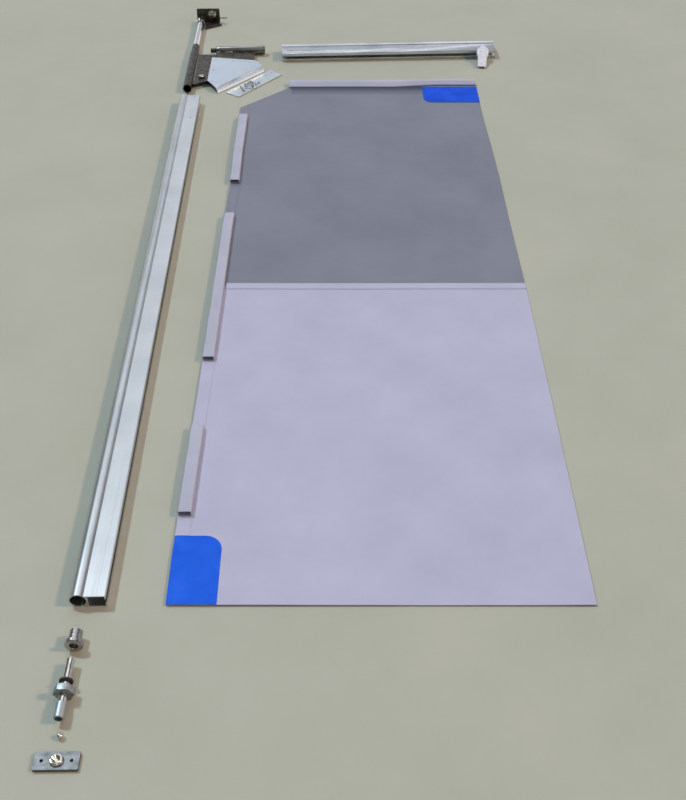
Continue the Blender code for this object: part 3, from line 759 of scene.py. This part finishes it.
def paint_metal():
    """The CAD nodes that stay: their materials and their softened edges."""
    fixings = [f"fixing_screw_{i}" for i in range(1, 10)] + [f"fixing_nut_{i}" for i in range(1, 5)]
    looks = (
        (post_alloy, ["post_extrusion"]),
        (arm_alloy, ["header_extrusion"]),
        (welded_steel, ["corner_plug_tube", "corner_gusset", "corner_stub_neck"]),
        (welded_steel, ["bracket_plate", "bracket_web", "bracket_pin", "pivot_thrust_collar"]),
        (stub_steel, ["corner_stub_tube"]),
        (chrome, ["pivot_shaft", "bracket_socket"]),
        (spindle_chrome, ["spindle_rod", "pivot_ball"]),
        (turned_steel, ["foot_bushing", "corner_gusset_bolt", "bracket_bolt_head"]),
        (plate_steel, ["floor_plate"]),
        (cup_brass, ["floor_plate_cup"]),
        (zinc, ["bracket_bolt_washer", *fixings]),
        (nut_zinc, ["jam_nut"]),
        (satin_zinc, ["spindle_ball_socket"]),
        (cover_alloy, ["front_cover", "back_cover"]),
        (key_plastic, ["hem_end_stop"]),
        (washer_rubber, ["jam_washer", "pivot_retaining_ring"]),
    )
    for look, nodes in looks:
        painted_by(nodes, look)
        smoothed(nodes, EDGES.get(look.name, EDGE))


# The stage


FLOOR_HALF = 80.0
BACKDROP = (0.56, 0.57, 0.54)

# The camera, in millimetres, metres and degrees.
CAMERA_LENS = 47.487
CAMERA_SHIFT = 0.0016
CAMERA_PLACE = (-0.0716, -2.7793, 1.7714)
CAMERA_TILT = 48.918
CAMERA_PAN = -1.0

# The studio's sides: rows of a height, from level to overhead, and a brightness there.
WORLD_PEAK = 3.0
WORLD_TINT = (0.93, 0.97, 1.06)
WORLD_WINDOW = (
    (0.0, 0.95), (0.22, 0.95), (0.31, 0.36), (0.42, 0.38), (0.50, 0.46),
    (0.62, 0.60), (0.75, 0.74), (0.86, 1.25), (0.95, 1.05), (1.0, 0.40),
)
WORLD_LAMPS = ((0.0, 0.95), (0.34, 0.95), (0.44, 2.10), (0.88, 2.10), (1.0, 0.40))
WORLD_BACK = ((0.0, 0.16), (0.30, 0.14), (0.60, 0.18), (1.0, 0.22))
WORLD_NEAR = ((0.0, 0.08), (0.50, 0.13), (1.0, 0.22))
WORLD_RIGHT = ((0.0, 0.30), (0.14, 0.90), (0.48, 1.00), (0.62, 0.25), (1.0, 0.22))

# Where one side gives way to the next, as parts of a direction of length 1.
LAMP_X = 0.13
LAMP_HALF = 0.022
WINDOW_NARROWING = 1.25
WINDOW_FADE = (-0.05, 0.20)
FAR_FADE = (-0.10, 0.20)
RIGHT_FADE = (0.72, 0.84)


def make_floor():
    """Plain painted floor, wide enough to fill every view down to the horizon."""
    made, tree, shader = new_material("floor_paint", (0.40, 0.41, 0.35), 0.0, 0.62)
    shader.inputs["Specular IOR Level"].default_value = 0.25
    blotch = noise_of(tree, 2.6, detail=6.0, roughness=0.62)
    tones = ((0.30, (0.385, 0.395, 0.335)), (0.50, (0.405, 0.415, 0.355)), (0.72, (0.430, 0.435, 0.375)))
    tree.links.new(ramp_of(tree, blotch, tones), shader.inputs["Base Color"])
    bump_of(tree, shader, noise_of(tree, 180.0), 0.0002)
    mesh = bpy.data.meshes.new("floor")
    corners = [(x * FLOOR_HALF, y * FLOOR_HALF, 0) for x, y in ((-1, -1), (1, -1), (1, 1), (-1, 1))]
    mesh.from_pydata(corners, [], [(0, 1, 2, 3)])
    mesh.materials.append(made)
    floor = bpy.data.objects.new("floor", mesh)
    bpy.context.scene.collection.objects.link(floor)


def far_light(name, towards, width, color):
    data = bpy.data.lights.new(name, "SUN")
    data.angle = math.radians(width)
    data.energy = 1.0
    data.color = color
    light = bpy.data.objects.new(name, data)
    light.rotation_euler = Vector(towards).to_track_quat("Z", "Y").to_euler()
    bpy.context.scene.collection.objects.link(light)


def mixed(tree, factor, first, second):
    """The first colour where factor is 0, and the second where it is 1."""
    node = tree.nodes.new("ShaderNodeMix")
    node.data_type = "RGBA"
    tree.links.new(factor, node.inputs["Factor"])
    tree.links.new(first, node.inputs["A"])
    tree.links.new(second, node.inputs["B"])
    return node.outputs["Result"]


def by_height(tree, up, stops):
    """One side of the studio, its brightness as a share of WORLD_PEAK."""
    greys = [(height, tuple(tint * value / WORLD_PEAK for tint in WORLD_TINT)) for height, value in stops]
    return ramp_of(tree, up, greys)


def make_world():
    """The studio that the metal reflects.

    The far side has a tall window with two narrow lamps in it, the sides and the near side are dim, and the
    right side is bright low down. The camera itself sees a plain pale backdrop above the floor.
    """
    world = bpy.data.worlds.new("studio")
    world.use_nodes = True
    tree = world.node_tree
    coords = tree.nodes.new("ShaderNodeTexCoord")
    split = tree.nodes.new("ShaderNodeSeparateXYZ")
    tree.links.new(coords.outputs["Generated"], split.inputs["Vector"])
    right, away, up = (split.outputs[axis] for axis in "XYZ")
    beside = maths(tree, "ABSOLUTE", right, 0.0)
    ahead = maths(tree, "SUBTRACT", away, maths(tree, "MULTIPLY", beside, WINDOW_NARROWING))
    off_lamp = maths(tree, "ABSOLUTE", maths(tree, "SUBTRACT", beside, LAMP_X), 0.0)
    lamps = range_of(tree, off_lamp, 1.0, 0.0, (LAMP_HALF * 0.7, LAMP_HALF * 1.3))
    window_side = mixed(tree, lamps, by_height(tree, up, WORLD_WINDOW), by_height(tree, up, WORLD_LAMPS))
    in_window = range_of(tree, ahead, 0.0, 1.0, WINDOW_FADE)
    far_side = mixed(tree, in_window, by_height(tree, up, WORLD_BACK), window_side)
    in_far_half = range_of(tree, away, 0.0, 1.0, FAR_FADE)
    around = mixed(tree, in_far_half, by_height(tree, up, WORLD_NEAR), far_side)
    on_right = range_of(tree, right, 0.0, 1.0, RIGHT_FADE)
    studio = tree.nodes["Background"]
    tree.links.new(mixed(tree, on_right, around, by_height(tree, up, WORLD_RIGHT)), studio.inputs["Color"])
    studio.inputs["Strength"].default_value = WORLD_PEAK
    backdrop = tree.nodes.new("ShaderNodeBackground")
    backdrop.inputs["Color"].default_value = (*BACKDROP, 1.0)
    seen = tree.nodes.new("ShaderNodeLightPath")
    either = tree.nodes.new("ShaderNodeMixShader")
    tree.links.new(seen.outputs["Is Camera Ray"], either.inputs["Fac"])
    tree.links.new(studio.outputs["Background"], either.inputs[1])
    tree.links.new(backdrop.outputs["Background"], either.inputs[2])
    tree.links.new(either.outputs["Shader"], tree.nodes["World Output"].inputs["Surface"])
    bpy.context.scene.world = world


def make_lights():
    far_light("left_light", (-0.60, 0.50, 1.05), 6.0, (1.24, 1.51, 1.63))
    far_light("right_light", (1.19, -0.05, 1.00), 6.0, (1.48, 1.03, 0.69))
    far_light("front_fill", (0.25, -0.80, 0.75), 30.0, (0.29, 0.28, 0.28))


def make_camera():
    data = bpy.data.cameras.new("camera")
    data.sensor_width = 36.0
    data.lens = CAMERA_LENS
    data.shift_x = CAMERA_SHIFT
    camera = bpy.data.objects.new("camera", data)
    camera.location = CAMERA_PLACE
    camera.rotation_euler = (math.radians(CAMERA_TILT), 0.0, math.radians(CAMERA_PAN))
    bpy.context.scene.collection.objects.link(camera)
    bpy.context.scene.camera = camera


make_camera()
make_curtain()
paint_metal()
make_welds()
make_floor()
make_world()
make_lights()
bpy.context.scene.view_settings.view_transform = "Standard"
